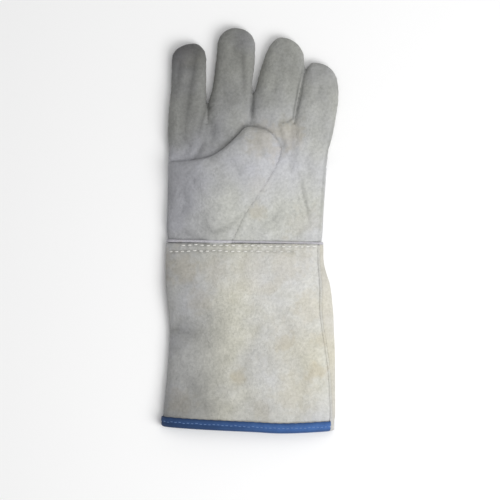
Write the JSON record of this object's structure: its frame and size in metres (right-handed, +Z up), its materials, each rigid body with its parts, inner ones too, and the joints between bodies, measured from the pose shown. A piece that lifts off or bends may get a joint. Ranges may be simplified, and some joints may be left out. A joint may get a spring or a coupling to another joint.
{
  "type": "gauntlet work glove",
  "caption": "Split leather work glove for the left hand with a long gauntlet cuff, folded thumb, knuckle strap and bound hem, lying palm up.",
  "frame": {"origin": "on the table, under the middle of the glove's footprint", "axes": "+Y towards the fingertips, +X towards the little finger, +Z up through the palm side"},
  "size_m": [0.155, 0.3552, 0.0275],
  "materials": {
    "palm_leather": "rough suede, pale grey",
    "index_back": "rough suede, pale grey",
    "middle_back": "rough suede, pale grey",
    "ring_back": "rough suede, pale grey",
    "little_back": "rough suede, pale grey",
    "thumb_leather": "rough suede, pale grey",
    "knuckle_strap": "smooth grain, off-white",
    "wrist_welt": "thin dark welt",
    "cuff_palm_panel": "rough suede, warm off-white",
    "cuff_back_panel": "rough suede, warm off-white",
    "cuff_side_welt": "pale leather welt",
    "hem_binding": "woven blue tape"
  },
  "bodies": {
    "root": {"palm_leather": "palm_leather", "index_back": "index_back", "middle_back": "middle_back", "ring_back": "ring_back", "little_back": "little_back", "thumb_leather": "thumb_leather", "knuckle_strap": "knuckle_strap", "wrist_welt": "wrist_welt", "cuff_palm_panel": "cuff_palm_panel", "cuff_back_panel": "cuff_back_panel", "cuff_side_welt": "cuff_side_welt", "hem_binding": "hem_binding"}
  },
  "joints": []
}
